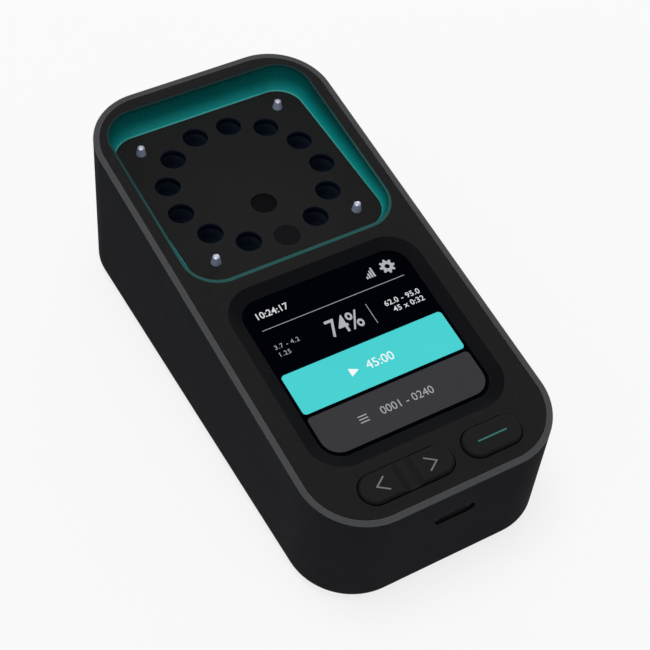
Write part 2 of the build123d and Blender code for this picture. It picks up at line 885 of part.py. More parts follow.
def make_base_screws():
    with BuildPart() as screws:
        with BuildSketch(Plane.XY.offset(foot_drop)):
            with Locations(*boss_points()):
                Circle(base_screw_head)
        extrude(amount=base_screw_head_height)
        with BuildSketch(Plane.XY.offset(foot_drop)):
            with Locations(*boss_points()):
                Circle(base_screw_radius)
        extrude(amount=cover_thickness + boss_height - boss_closed_end - run_gap)
    return screws.part


def make_rubber_feet():
    with BuildPart() as feet:
        with BuildSketch(Plane.XY):
            with foot_places():
                Circle(foot_radius)
        extrude(amount=foot_drop + foot_sink)
        chamfer(feet.edges().group_by(Axis.Z)[0], foot_drop / 3)
    return feet.part


marks = make_page_marks()
light = make_select_light()
pieces = {
    "case_shell": make_case_shell(),
    "rim_trim": make_rim_trim(),
    "top_panel": make_top_panel(),
    "pocket_liner": make_pocket_liner(),
    "well_plate": make_well_plate(),
    "reference_disc": make_reference_disc(),
    "sensor_window": make_sensor_window(),
    "guide_pins": make_guide_pins(),
    "thermal_block": make_thermal_block(),
    "optics_hub": make_optics_hub(),
    "optics_board": make_optics_board(),
    "cooler_module": make_cooler(),
    "heat_sink": make_heat_sink(),
    "fan_frame": make_fan_frame(),
    "fan_rotor": make_fan_rotor(),
    "display_glass": make_display_glass(),
    "display_screen": make_display_screen(),
    "display_frame": make_display_frame(),
    "page_rocker": make_page_rocker(marks),
    "page_marks": marks,
    "rocker_pin": make_rocker_pin(),
    "select_key": make_select_key(light),
    "select_light": light,
    "key_bracket": make_key_bracket(),
    "key_pad": make_key_pad(),
    "key_board": make_key_board(),
    "main_board": make_main_board(),
    "board_posts": make_board_posts(),
    "board_screws": make_board_screws(),
    "socket_shell": make_socket_shell(),
    "socket_tongue": make_socket_tongue(),
    "battery_pack": make_battery_pack(),
    "base_cover": make_base_cover(),
    "base_screws": make_base_screws(),
    "rubber_feet": make_rubber_feet(),
}

os.makedirs("parts", exist_ok=True)
for name, piece in pieces.items():
    piece.label = name
    export_step(piece, f"parts/{name}.step")
    print(name, len(piece.solids()), round(piece.volume, 1))
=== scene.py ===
# %% [markdown]
# A hand-held analyzer, dressed around its CAD frame. The frame brings every rigid piece at its
# real size and place. This script gives each piece its finish, draws what the display shows,
# adds the smallest fittings, and sets up a pale studio with the photograph's camera.

# %% Load the frame
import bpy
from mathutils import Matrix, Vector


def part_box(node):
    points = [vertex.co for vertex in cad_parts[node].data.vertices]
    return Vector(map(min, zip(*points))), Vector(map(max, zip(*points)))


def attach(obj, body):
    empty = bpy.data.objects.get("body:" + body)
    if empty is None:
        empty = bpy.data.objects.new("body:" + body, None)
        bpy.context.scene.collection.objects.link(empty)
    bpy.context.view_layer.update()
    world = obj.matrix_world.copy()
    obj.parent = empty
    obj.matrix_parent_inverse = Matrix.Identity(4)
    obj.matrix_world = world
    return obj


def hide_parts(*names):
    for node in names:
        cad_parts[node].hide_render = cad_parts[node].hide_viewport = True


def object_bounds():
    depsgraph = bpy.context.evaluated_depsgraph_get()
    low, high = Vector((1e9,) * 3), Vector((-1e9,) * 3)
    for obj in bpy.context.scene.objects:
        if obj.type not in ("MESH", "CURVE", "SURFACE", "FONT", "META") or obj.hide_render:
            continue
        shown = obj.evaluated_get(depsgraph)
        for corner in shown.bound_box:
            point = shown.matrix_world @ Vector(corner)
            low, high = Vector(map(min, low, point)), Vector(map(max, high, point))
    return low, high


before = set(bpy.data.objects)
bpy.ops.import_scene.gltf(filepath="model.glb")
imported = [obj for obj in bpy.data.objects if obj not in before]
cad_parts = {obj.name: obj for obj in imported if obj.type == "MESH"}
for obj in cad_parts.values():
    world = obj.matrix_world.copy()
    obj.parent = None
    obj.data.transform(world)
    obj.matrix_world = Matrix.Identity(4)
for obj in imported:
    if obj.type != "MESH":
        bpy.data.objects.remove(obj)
cad_box = [list(corner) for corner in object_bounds()]

import math

import bmesh
import bpy
from mathutils import Matrix, Vector

MM = 0.001
print("pieces in the frame:", len(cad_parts), "box:", cad_box)

# %% [markdown]
# Everything is measured from four places on the real case: the ring of wells on the deck, the
# tray round it, the display's cover glass, and the sloping top. The boxes come from the frame, so
# nothing here is fitted by eye. The slope and the glass's thickness are the CAD source's own.

# %% Places on the case
top_slope = math.radians(5.9)
glass_thickness = 0.9 * MM

block_low, block_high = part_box("thermal_block")
deck_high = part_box("well_plate")[1]
liner_low, liner_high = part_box("pocket_liner")
ring_centre = Vector(((block_low.x + block_high.x) / 2, (block_low.y + block_high.y) / 2,
                      deck_high.z))

glass_low, glass_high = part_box("display_glass")
glass_width = glass_high.x - glass_low.x
glass_run = glass_high.y - glass_low.y - glass_thickness * math.sin(top_slope)
glass_length = glass_run / math.cos(top_slope)
glass_centre = Vector(((glass_low.x + glass_high.x) / 2, glass_low.y + glass_run / 2,
                       glass_high.z - glass_run / 2 * math.tan(top_slope)))
glass_place = Matrix.Translation(glass_centre) @ Matrix.Rotation(top_slope, 4, "X")
print("ring centre", ring_centre, "glass", glass_width, glass_length)

# %% [markdown]
# Materials are made of nodes. Small helpers keep that readable. One writes a colour as a painter
# would read it off a swatch, from 0 to 255. One adds a node with its inputs, where an input is
# either a plain value or another node's output. The others add what comes up most.

# %% Helpers for colours and nodes


def tint(red, green, blue):
    """A swatch colour, 0 to 255, as the linear colour that shaders use."""
    def linear(value):
        share = value / 255
        return share / 12.92 if share <= 0.04045 else ((share + 0.055) / 1.055) ** 2.4
    return (linear(red), linear(green), linear(blue), 1.0)


def add(tree, kind, inputs=None, **settings):
    """A new node with its settings, values and links."""
    made = tree.nodes.new(kind)
    for name, value in settings.items():
        setattr(made, name, value)
    for name, value in (inputs or {}).items():
        if isinstance(value, bpy.types.NodeSocket):
            tree.links.new(value, made.inputs[name])
        else:
            made.inputs[name].default_value = value
    return made


def maths(tree, operation, first, second):
    """A Math node's output."""
    return add(tree, "ShaderNodeMath", {0: first, 1: second}, operation=operation).outputs[0]


def blend(tree, share, first, second):
    """A Mix node's colour, between two colours."""
    made = add(tree, "ShaderNodeMix", {0: share, 6: first, 7: second}, data_type="RGBA")
    return made.outputs[2]


def remap(tree, value, low, high, to_low=0.0, to_high=1.0):
    """A value stretched from one range to another, and clamped."""
    made = add(tree, "ShaderNodeMapRange", {0: value, 1: low, 2: high, 3: to_low, 4: to_high})
    return made.outputs[0]


def own_place(tree):
    """A point's place on the piece itself, in metres."""
    return tree.nodes.new("ShaderNodeTexCoord").outputs["Object"]


def per_metre(tree, per_mm):
    """A count for each millimetre, as a count for each metre."""
    return maths(tree, "MULTIPLY", per_mm, 1000.0)


def noise(tree, place, scale, **more):
    """A Noise texture's value at a place."""
    inputs = {"Vector": place, "Scale": scale}
    inputs.update({name.capitalize(): value for name, value in more.items()})
    return add(tree, "ShaderNodeTexNoise", inputs).outputs[0]


def new_group(name, inputs, outputs):
    """A node group with named sockets. Returns its tree and its inputs, by name."""
    tree = bpy.data.node_groups.new(name, "ShaderNodeTree")
    for socket, kind, value in inputs:
        made = tree.interface.new_socket(socket, in_out="INPUT", socket_type="NodeSocket" + kind)
        made.default_value = value
    for socket, kind in outputs:
        tree.interface.new_socket(socket, in_out="OUTPUT", socket_type="NodeSocket" + kind)
    given = tree.nodes.new("NodeGroupInput")
    return tree, given.outputs


def close_group(tree, results):
    """Wires a group's results to its outputs."""
    end = tree.nodes.new("NodeGroupOutput")
    for socket, value in results.items():
        tree.links.new(value, end.inputs[socket])
    return tree


def use(tree, group, **inputs):
    """A group placed in a material, with its own values. Returns its outputs."""
    named = {name.replace("_", " ").capitalize(): value for name, value in inputs.items()}
    return add(tree, "ShaderNodeGroup", named, node_tree=group).outputs


# %% [markdown]
# Moulded plastic gets its look from the steel tool it was pressed in: a spark-eroded grain of
# some tenths of a millimetre, and slow cloudy changes where the melt cooled at another rate.
# One group makes both, and each plastic gives it its own grain size and strength.

# %% Group: moulded grain
clouds_per_metre = 95.0
fleck_range = 0.35, 0.7
pit_share = 0.5


def make_moulded_grain():
    tree, given = new_group(
        "moulded_grain",
        [("Colour", "Color", (0.5, 0.5, 0.5, 1)), ("Fleck", "Color", (0.6, 0.6, 0.6, 1)),
         ("Grains per mm", "Float", 7.0), ("Fleck share", "Float", 0.3),
         ("Roughness", "Float", 0.5), ("Cloud", "Float", 0.1)],
        [("Colour", "Color"), ("Roughness", "Float"), ("Height", "Float")])
    place = own_place(tree)
    scale = per_metre(tree, given["Grains per mm"])
    grain = noise(tree, place, scale, detail=3.0, roughness=0.62)
    cloud = noise(tree, place, clouds_per_metre, detail=4.0, distortion=0.6)
    pits = add(tree, "ShaderNodeTexVoronoi", {"Vector": place, "Scale": scale},
               feature="SMOOTH_F1").outputs[0]
    share = maths(tree, "MULTIPLY", remap(tree, grain, *fleck_range), given["Fleck share"])
    clouded = maths(tree, "MULTIPLY", maths(tree, "SUBTRACT", cloud, 0.5), given["Cloud"])
    share = maths(tree, "ADD", share, clouded)
    colour = blend(tree, share, given["Colour"], given["Fleck"])
    roughness = maths(tree, "ADD", given["Roughness"], clouded)
    height = maths(tree, "ADD", grain, maths(tree, "MULTIPLY", pits, pit_share))
    return close_group(tree, {"Colour": colour, "Roughness": roughness, "Height": height})


moulded_grain = make_moulded_grain()
print("group:", moulded_grain.name)

# %% [markdown]
# A hand polishes the edges that it touches first. The Bevel node gives a normal that turns
# early near an edge, so the angle between it and the true normal is a mask of every edge. The
# mask starts where that angle passes about 6 degrees and is full from about 30. A slow noise
# breaks it up, because no edge wears evenly.

# %% Group: worn edge
edge_starts, edge_full = 0.995, 0.86
break_range, least_wear = (0.3, 0.62), 0.25


def make_worn_edge():
    tree, given = new_group(
        "worn_edge",
        [("Width mm", "Float", 0.3), ("Strength", "Float", 0.5), ("Breaks per mm", "Float", 0.6)],
        [("Mask", "Float")])
    width = maths(tree, "MULTIPLY", given["Width mm"], MM)
    soft = add(tree, "ShaderNodeBevel", {"Radius": width}, samples=4).outputs[0]
    true = tree.nodes.new("ShaderNodeNewGeometry").outputs["Normal"]
    facing = add(tree, "ShaderNodeVectorMath", {0: soft, 1: true},
                 operation="DOT_PRODUCT").outputs["Value"]
    edge = remap(tree, facing, edge_starts, edge_full)
    broken = noise(tree, own_place(tree), per_metre(tree, given["Breaks per mm"]), detail=4.0)
    patchy = remap(tree, broken, *break_range, least_wear)
    mask = maths(tree, "MULTIPLY", maths(tree, "MULTIPLY", edge, patchy), given["Strength"])
    return close_group(tree, {"Mask": mask})


worn_edge = make_worn_edge()
print("group:", worn_edge.name)

# %% [markdown]
# A unit that is carried from bench to bench gathers a little: a film of handling that changes
# the shine in wide soft patches, and a few specks of lint. Both are masks, so that each
# material decides how much of them it shows.

# %% Group: handling
smears_per_metre, specks_per_metre, clusters_per_metre = 46.0, 520.0, 210.0
smear_range = 0.48, 0.72
speck_range = 0.10, 0.04
cluster_range = 0.60, 0.66


def make_handling():
    tree, given = new_group(
        "handling", [("Film", "Float", 0.5), ("Lint", "Float", 0.5)],
        [("Film", "Float"), ("Lint", "Float")])
    place = own_place(tree)
    smear = noise(tree, place, smears_per_metre, detail=6.0, roughness=0.66, distortion=1.4)
    film = maths(tree, "MULTIPLY", remap(tree, smear, *smear_range), given["Film"])
    dots = add(tree, "ShaderNodeTexVoronoi", {"Vector": place, "Scale": specks_per_metre})
    speck = remap(tree, dots.outputs["Distance"], *speck_range)
    kept = remap(tree, noise(tree, place, clusters_per_metre, detail=1.0), *cluster_range)
    lint = maths(tree, "MULTIPLY", maths(tree, "MULTIPLY", speck, kept), given["Lint"])
    return close_group(tree, {"Film": film, "Lint": lint})


handling = make_handling()
print("group:", handling.name)

# %% [markdown]
# Some pieces have another colour where they slope: the bevel round the display is darker than
# the flat beside it, the flanks of the keys are darker with painted shade, the tray's wall is
# painted brighter than its lip as painted light, and the guide pins are pale on top with a
# painted highlight. One group tells such faces apart by their tilt from a given upward
# direction, in degrees, on the piece itself.

# %% Group: tilted faces
top_normal = (0.0, -math.sin(top_slope), math.cos(top_slope))


def make_tilted_faces():
    tree, given = new_group(
        "tilted_faces",
        [("Up", "Vector", (0.0, 0.0, 1.0)), ("Flat until", "Float", 6.0),
         ("Full from", "Float", 12.0)],
        [("Mask", "Float")])
    facing = tree.nodes.new("ShaderNodeTexCoord").outputs["Normal"]
    level = add(tree, "ShaderNodeVectorMath", {0: facing, 1: given["Up"]},
                operation="DOT_PRODUCT").outputs["Value"]
    angle = add(tree, "ShaderNodeMath", {0: maths(tree, "MINIMUM", level, 1.0)},
                operation="ARCCOSINE").outputs[0]
    degrees = add(tree, "ShaderNodeMath", {0: angle}, operation="DEGREES").outputs[0]
    mask = add(tree, "ShaderNodeMapRange", {0: degrees, 1: given["Flat until"],
                                            2: given["Full from"]}).outputs[0]
    return close_group(tree, {"Mask": mask})


tilted_faces = make_tilted_faces()
print("group:", tilted_faces.name)

# %% [markdown]
# Turned and drawn metal carries fine rings or lines from the tool. The group squeezes a noise
# by a factor along each axis, which leaves streaks where the factors differ, and gives them as a
# height, a roughness and a shade.

# %% Group: tool marks
shade_range = 0.3, 0.7


def make_tool_marks():
    tree, given = new_group(
        "tool_marks",
        [("Along", "Vector", (1.0, 1.0, 30.0)), ("Marks per mm", "Float", 1.0),
         ("Roughness", "Float", 0.25), ("Spread", "Float", 0.15)],
        [("Roughness", "Float"), ("Height", "Float"), ("Shade", "Float")])
    stretched = add(tree, "ShaderNodeVectorMath", {0: own_place(tree), 1: given["Along"]},
                    operation="MULTIPLY").outputs["Vector"]
    marks = noise(tree, stretched, per_metre(tree, given["Marks per mm"]), detail=3.0)
    spread = maths(tree, "MULTIPLY", maths(tree, "SUBTRACT", marks, 0.5), given["Spread"])
    roughness = maths(tree, "ADD", given["Roughness"], spread)
    shade = remap(tree, marks, *shade_range)
    return close_group(tree, {"Roughness": roughness, "Height": marks, "Shade": shade})


tool_marks = make_tool_marks()
print("group:", tool_marks.name)

# %% [markdown]
# A material is a Principled shader fed by these groups. What is the same all over a surface,
# such as how strongly it mirrors, is set on the shader itself. What changes from place to place
# comes from the groups.

# %% Start a material


def new_material(name, **constants):
    """An empty material with a Principled shader. Returns material, tree and shader."""
    material = bpy.data.materials.new(name)
    material.use_nodes = True
    tree = material.node_tree
    shader = tree.nodes["Principled BSDF"]
    for socket, value in constants.items():
        shader.inputs[socket.replace("_", " ")].default_value = value
    return material, tree, shader


def feed(tree, shader, **sources):
    """Links outputs to a shader's inputs."""
    for socket, value in sources.items():
        tree.links.new(value, shader.inputs[socket.replace("_", " ")])


def bump(tree, height, depth_mm):
    """A Bump node that turns a height into a normal."""
    return add(tree, "ShaderNodeBump", {"Height": height, "Distance": depth_mm * MM}).outputs[0]


def dulled(tree, roughness, touched, by):
    """A roughness, raised where the film of handling lies."""
    return maths(tree, "ADD", roughness, maths(tree, "MULTIPLY", touched["Film"], by))


# %% [markdown]
# The tray is the one moulding whose colour changes from place to place, and that change is
# painted light and shade. Its wall is painted brightest at the deck and fades upward into painted
# shade, with a thin painted highlight along its foot and a painted shadow line under the brim, and
# its lip is dull with painted shade at the back and clear towards the keys. All that follows from
# a point's height in the pocket and its way forward.

# %% Painted light and shade of the tray
# How the painted shade fades up the wall, how high the painted highlight at the foot reaches, and
# where the painted shadow under the brim starts and is full.
fade_power = 0.75
foot_until = 0.05
brim_starts, brim_full = 0.86, 0.97


def in_the_pocket(tree):
    """Where a point of the tray is: its share of the way up the wall, and of the way forward."""
    along = add(tree, "ShaderNodeSeparateXYZ", {0: own_place(tree)}).outputs
    from_back = maths(tree, "SUBTRACT", along["Y"], liner_high.y)
    slope = maths(tree, "MULTIPLY", from_back, math.tan(top_slope))
    wall = maths(tree, "ADD", slope, liner_high.z - deck_high.z)
    risen = maths(tree, "DIVIDE", maths(tree, "SUBTRACT", along["Z"], deck_high.z), wall)
    return risen, remap(tree, along["Y"], liner_high.y, liner_low.y)


def tray_painted_light_and_shade(tree, lip, fleck, side, painted_light_and_shade):
    """The tray's lip, flecks and side, with light and shade painted by their place in the pocket.
    """
    risen, forward = in_the_pocket(tree)
    faded = remap(tree, maths(tree, "POWER", risen, fade_power), 0.0, 1.0)
    side = blend(tree, faded, side, painted_light_and_shade["upper"])
    side = blend(tree, remap(tree, risen, 0.0, foot_until), painted_light_and_shade["foot"], side)
    side = blend(tree, remap(tree, risen, brim_starts, brim_full), side, painted_light_and_shade["brim"])
    lip = blend(tree, forward, painted_light_and_shade["back_lip"], lip)
    fleck = blend(tree, forward, painted_light_and_shade["back_lip"], fleck)
    return lip, fleck, side


print("the tray's wall stands", round((liner_high.z - deck_high.z) / MM, 2), "mm at the back")

# %% [markdown]
# The case, its rim, the panel, the keys and the tray are all moulded plastics. They differ in
# colour, in grain and in how much wear and handling show, so one function makes them all, and
# coat, rubber, silicone and ceramic too. Handling and worn edges both leave a surface a little
# smoother.

# %% Moulded plastics
lint_colour = tint(150, 150, 148)
film_polish, edge_polish = 0.16, 0.12
side_fleck_gain = 1.4


def moulded(name, colour, fleck, grains, fleck_share=0.25, roughness=0.5, cloud=0.12,
            mirror=0.25, depth=0.006, worn=0.25, worn_colour=None, film=0.4, lint=0.0,
            sloped=None, painted_light_and_shade=None):
    """A moulded plastic with grain, worn edges and a film of handling."""
    material, tree, shader = new_material(name, Specular_IOR_Level=mirror)
    if sloped:
        tilt = use(tree, tilted_faces, up=top_normal, flat_until=6.0, full_from=12.0)
        lighter = add(tree, "ShaderNodeVectorMath", {0: sloped[:3], "Scale": side_fleck_gain},
                      operation="SCALE").outputs[0]
        side = sloped
        # Only the tray gets painted light and shade, by its place in the pocket.
        if painted_light_and_shade:
            colour, fleck, side = tray_painted_light_and_shade(tree, colour, fleck, side, painted_light_and_shade)
        colour = blend(tree, tilt["Mask"], colour, side)
        fleck = blend(tree, tilt["Mask"], fleck, lighter)
    grain = use(tree, moulded_grain, colour=colour, fleck=fleck, grains_per_mm=grains,
                fleck_share=fleck_share, roughness=roughness, cloud=cloud)
    edge = use(tree, worn_edge, width_mm=0.25, strength=worn)
    touched = use(tree, handling, film=film, lint=lint)
    shown = blend(tree, edge["Mask"], grain["Colour"], worn_colour or fleck)
    shown = blend(tree, touched["Lint"], shown, lint_colour)
    shine = maths(tree, "SUBTRACT", grain["Roughness"],
                  maths(tree, "MULTIPLY", touched["Film"], film_polish))
    shine = maths(tree, "SUBTRACT", shine, maths(tree, "MULTIPLY", edge["Mask"], edge_polish))
    feed(tree, shader, Base_Color=shown, Roughness=shine,
         Normal=bump(tree, grain["Height"], depth))
    return material


case_plastic = moulded("case_plastic", tint(20, 21, 23), tint(44, 45, 49), grains=4.0,
                       fleck_share=0.45, roughness=0.7, mirror=0.01, depth=0.05,
                       worn_colour=tint(56, 58, 62), lint=0.08)
panel_plastic = moulded("panel_plastic", tint(27, 26, 26), tint(50, 50, 50), grains=5.0,
                        fleck_share=0.45, roughness=0.62, mirror=0.04, depth=0.04,
                        worn_colour=tint(58, 58, 58), lint=0.06, sloped=tint(13, 14, 18))
rim_plastic = moulded("rim_plastic", tint(64, 65, 67), tint(94, 95, 98), grains=5.0,
                      fleck_share=0.45, roughness=0.5, mirror=0.12, depth=0.04, worn=0.5,
                      worn_colour=tint(108, 109, 112))
# The keys' darker sloped colour is painted shade on their flanks.
key_plastic = moulded("key_plastic", tint(27, 27, 27), tint(47, 47, 48), grains=6.0,
                      fleck_share=0.4, roughness=0.58, mirror=0.05, depth=0.03, worn=0.2,
                      worn_colour=tint(48, 48, 50), film=0.8, sloped=tint(24, 24, 25))
# The tray's colours are painted light and shade: the lip is dulled for its shade, the sloped wall
# is painted bright as if lit, the foot gets a painted highlight, and the upper wall, the brim and
# the back of the lip get painted shade.
tray_plastic = moulded("tray_plastic", tint(34, 84, 81), tint(48, 108, 104), grains=5.0,
                       fleck_share=0.3, roughness=0.45, mirror=0.12, depth=0.03,
                       worn_colour=tint(34, 96, 92), worn=0.06, sloped=tint(4, 142, 140),
                       painted_light_and_shade={"foot": tint(92, 190, 182), "upper": tint(2, 60, 59),
                              "brim": tint(2, 40, 39), "back_lip": tint(22, 37, 39)})
deck_coat = moulded("deck_coat", tint(27, 27, 27), tint(50, 50, 50), grains=6.0,
                    fleck_share=0.45, roughness=0.62, mirror=0.04, depth=0.04, worn=0.4,
                    worn_colour=tint(56, 56, 58), lint=0.05)
inner_plastic = moulded("inner_plastic", tint(22, 22, 24), tint(34, 34, 36), grains=4.0,
                        roughness=0.55)
fan_plastic = moulded("fan_plastic", tint(20, 20, 21), tint(32, 32, 33), grains=6.0,
                      roughness=0.42, mirror=0.4)
foot_rubber = moulded("foot_rubber", tint(24, 24, 24), tint(48, 47, 46), grains=3.0,
                      fleck_share=0.5, roughness=0.85, mirror=0.12, depth=0.03,
                      worn_colour=tint(72, 70, 68), worn=0.6, lint=0.5)
pad_silicone = moulded("pad_silicone", tint(70, 72, 76), tint(92, 94, 98), grains=3.0,
                       roughness=0.7)
tongue_plastic = moulded("tongue_plastic", tint(16, 16, 17), tint(26, 26, 27), grains=9.0,
                         roughness=0.4)
battery_wrap = moulded("battery_wrap", tint(38, 66, 128), tint(58, 90, 150), grains=2.0,
                       roughness=0.3, mirror=0.5, cloud=0.2)
ceramic = moulded("ceramic", tint(232, 230, 222), tint(246, 244, 238), grains=5.0,
                  fleck_share=0.4, roughness=0.72)
smoky_disc = moulded("smoky_disc", tint(20, 18, 22), tint(27, 24, 29), grains=10.0,
                     roughness=0.4, mirror=0.04, worn_colour=tint(12, 11, 14))
print("moulded plastics made")

# %% [markdown]
# The wells are cut into a dark anodised block, and light hardly gets out of them again. Their
# metal is dark with a cold cast, and the collars at their mouths are darker still, as painted
# shade at the wells' mouths. How much a metal mirrors comes from Metallic, and its rings or
# lines from the tool marks.

# %% Metals


def metal(name, colour, shade, roughness, along=(1.0, 1.0, 30.0), metallic=1.0, mirror=0.5):
    """A turned, drawn or milled metal, dulled a little by handling."""
    material, tree, shader = new_material(name, Metallic=metallic, Specular_IOR_Level=mirror)
    marked = use(tree, tool_marks, along=along, marks_per_mm=0.6, roughness=roughness, spread=0.2)
    touched = use(tree, handling, film=0.5, lint=0.0)
    shown = blend(tree, marked["Shade"], colour, shade)
    feed(tree, shader, Base_Color=shown,
         Roughness=dulled(tree, marked["Roughness"], touched, by=0.12),
         Normal=bump(tree, marked["Height"], depth_mm=0.002))
    return material


well_metal = metal("well_metal", tint(39, 48, 66), tint(48, 60, 82), roughness=0.42,
                   metallic=0.1, mirror=0.1)
# The collars' darker colour is painted shade at the wells' mouths.
collar_metal = metal("collar_metal", tint(20, 26, 42), tint(27, 35, 56), roughness=0.5,
                     metallic=0.1, mirror=0.05)
screw_steel = metal("screw_steel", tint(120, 122, 126), tint(165, 167, 170), roughness=0.35,
                    along=(6.0, 6.0, 6.0))
shell_steel = metal("shell_steel", tint(150, 151, 154), tint(186, 187, 190), roughness=0.32,
                    along=(8.0, 1.0, 8.0))
sink_aluminium = metal("sink_aluminium", tint(176, 178, 181), tint(205, 207, 209),
                       roughness=0.38, along=(10.0, 1.0, 10.0))
post_brass = metal("post_brass", tint(190, 155, 84), tint(214, 182, 112), roughness=0.28)
contact_gold = metal("contact_gold", tint(212, 172, 92), tint(236, 200, 128), roughness=0.22,
                     along=(8.0, 1.0, 8.0))
print("metals made")

# %% [markdown]
# The guide pins are satin steel with a painted highlight on top: the part of the pin that faces
# up is painted near white, so it needs no piece of its own.

# %% Guide pins


def steel_with_painted_top(name, side, shade, painted_top_highlight):
    """A turned steel with a painted highlight where it faces up."""
    material, tree, shader = new_material(name, Metallic=0.35, Specular_IOR_Level=0.4)
    marked = use(tree, tool_marks, along=(1.0, 1.0, 24.0), marks_per_mm=1.2, roughness=0.36,
                 spread=0.2)
    tilt = use(tree, tilted_faces, up=(0.0, 0.0, 1.0), flat_until=11.0, full_from=15.0)
    turned = blend(tree, marked["Shade"], side, shade)
    shown = blend(tree, tilt["Mask"], painted_top_highlight, turned)
    feed(tree, shader, Base_Color=shown, Roughness=marked["Roughness"],
         Normal=bump(tree, marked["Height"], depth_mm=0.003))
    return material


# The near-white third colour is the painted highlight on the pins' tops.
pin_steel = steel_with_painted_top("pin_steel", tint(158, 166, 196), tint(188, 195, 218),
                         tint(232, 234, 236))
print("pin steel made")

# %% [markdown]
# The cover glass is black from behind, so it needs no see-through shader: a very smooth coat
# over near-black does it. The film of handling makes its reflection uneven. The sensor window
# is a dark filter, and the screen lies dark behind the cover. Both are less smooth.

# %% Glass
glass_smooth = 0.06


def black_glass(name, colour, fleck, smooth, mirror, film):
    """A smooth dark cover with smears in its shine."""
    material, tree, shader = new_material(name, Specular_IOR_Level=mirror)
    touched = use(tree, handling, film=film, lint=0.4)
    shown = blend(tree, touched["Lint"], colour, fleck)
    feed(tree, shader, Base_Color=shown, Roughness=dulled(tree, smooth, touched, by=0.10))
    return material


cover_glass = black_glass("cover_glass", tint(1, 2, 8), tint(40, 42, 48), smooth=glass_smooth,
                          mirror=0.08, film=1.0)
filter_glass = black_glass("filter_glass", tint(10, 11, 13), tint(40, 42, 44), smooth=0.22,
                           mirror=0.12, film=0.6)
screen_back = black_glass("screen_back", tint(12, 13, 15), tint(30, 31, 33), smooth=0.3,
                          mirror=0.3, film=0.5)
print("glass made")

# %% [markdown]
# Circuit boards are green lacquer over copper. The lacquer shows the tracks as slightly lighter
# lines, which a Brick texture gives well enough for boards that stay inside the case.

# %% Boards
lacquer_smooth = 0.28


def board_lacquer():
    """Green lacquer with slightly lighter tracks."""
    material, tree, shader = new_material("board_lacquer", Specular_IOR_Level=0.5)
    tracks = add(tree, "ShaderNodeTexBrick",
                 {"Vector": own_place(tree), "Color1": tint(16, 74, 46), "Color2": tint(18, 84, 52),
                  "Mortar": tint(34, 116, 70), "Scale": 900.0, "Mortar Size": 0.03},
                 offset=0.35)
    touched = use(tree, handling, film=0.6, lint=0.2)
    shown = blend(tree, touched["Lint"], tracks.outputs["Color"], tint(140, 150, 140))
    feed(tree, shader, Base_Color=shown, Roughness=dulled(tree, lacquer_smooth, touched, by=0.2),
         Normal=bump(tree, tracks.outputs["Fac"], depth_mm=0.01))
    return material


boards = board_lacquer()
print("board lacquer made")

# %% [markdown]
# What the display shows is light, not paint, so its materials give it off. A screen is a grid
# of tiny dots: a fine noise and a slow one take a few percent off here and there, which keeps
# the colour from looking like a sticker, and a smooth surface lets it mirror as the glass round
# it does. The keys' marks and light bar are lit in the same way.

# %% Lit colours
dots_per_metre, patches_per_metre = 12000.0, 60.0
dot_range, patch_range = (0.45, 0.8), (0.4, 0.7)
dot_dims, patch_dims = 0.5, 0.3


def lit(name, colour, dim):
    """A colour that the screen gives off, dimmer from dot to dot."""
    material, tree, shader = new_material(name, Specular_IOR_Level=0.08, Emission_Strength=1.0,
                                          Base_Color=tint(2, 3, 8))
    place = own_place(tree)
    dots = noise(tree, place, dots_per_metre, detail=1.0)
    patches = noise(tree, place, patches_per_metre, detail=2.0)
    touched = use(tree, handling, film=1.0, lint=0.0)
    share = maths(tree, "ADD", remap(tree, dots, *dot_range, 0.0, dot_dims),
                  remap(tree, patches, *patch_range, 0.0, patch_dims))
    glow = blend(tree, share, colour, dim)
    feed(tree, shader, Emission_Color=glow,
         Roughness=dulled(tree, glass_smooth, touched, by=0.10))
    return material


lit_teal = lit("lit_teal", tint(75, 211, 211), tint(68, 204, 205))
lit_grey = lit("lit_grey", tint(58, 58, 60), tint(54, 54, 57))
lit_bright = lit("lit_bright", tint(250, 251, 252), tint(240, 242, 244))
lit_white = lit("lit_white", tint(216, 218, 221), tint(202, 204, 208))
lit_pale = lit("lit_pale", tint(180, 181, 185), tint(168, 170, 174))
lit_soft = lit("lit_soft", tint(166, 168, 172), tint(152, 154, 158))
mark_light = lit("mark_light", tint(122, 122, 124), tint(108, 108, 110))
bar_light = lit("bar_light", tint(58, 118, 112), tint(48, 104, 99))
print("lit colours made")

# %% [markdown]
# Each CAD piece now gets its finish. The table below is the whole dressing of the frame in one
# place: the piece's name on the left, its material on the right.

# %% Dress the frame
finishes = {
    "case_shell": case_plastic, "base_cover": case_plastic, "rim_trim": rim_plastic,
    "top_panel": panel_plastic, "pocket_liner": tray_plastic, "well_plate": deck_coat,
    "reference_disc": smoky_disc, "sensor_window": filter_glass, "guide_pins": pin_steel,
    "thermal_block": well_metal, "optics_hub": inner_plastic, "optics_board": boards,
    "cooler_module": ceramic, "heat_sink": sink_aluminium, "fan_frame": fan_plastic,
    "fan_rotor": fan_plastic, "display_glass": cover_glass, "display_screen": screen_back,
    "display_frame": inner_plastic, "page_rocker": key_plastic, "page_marks": mark_light,
    "rocker_pin": screw_steel, "select_key": key_plastic, "select_light": bar_light,
    "key_bracket": inner_plastic, "key_pad": pad_silicone, "key_board": boards,
    "main_board": boards, "board_posts": post_brass, "board_screws": screw_steel,
    "socket_shell": shell_steel, "socket_tongue": tongue_plastic, "battery_pack": battery_wrap,
    "base_screws": screw_steel, "rubber_feet": foot_rubber,
}
for name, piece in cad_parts.items():
    for place in piece.material_slots:
        place.material = finishes[name]
print("dressed:", len(finishes), "pieces, undressed:", sorted(set(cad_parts) - set(finishes)))

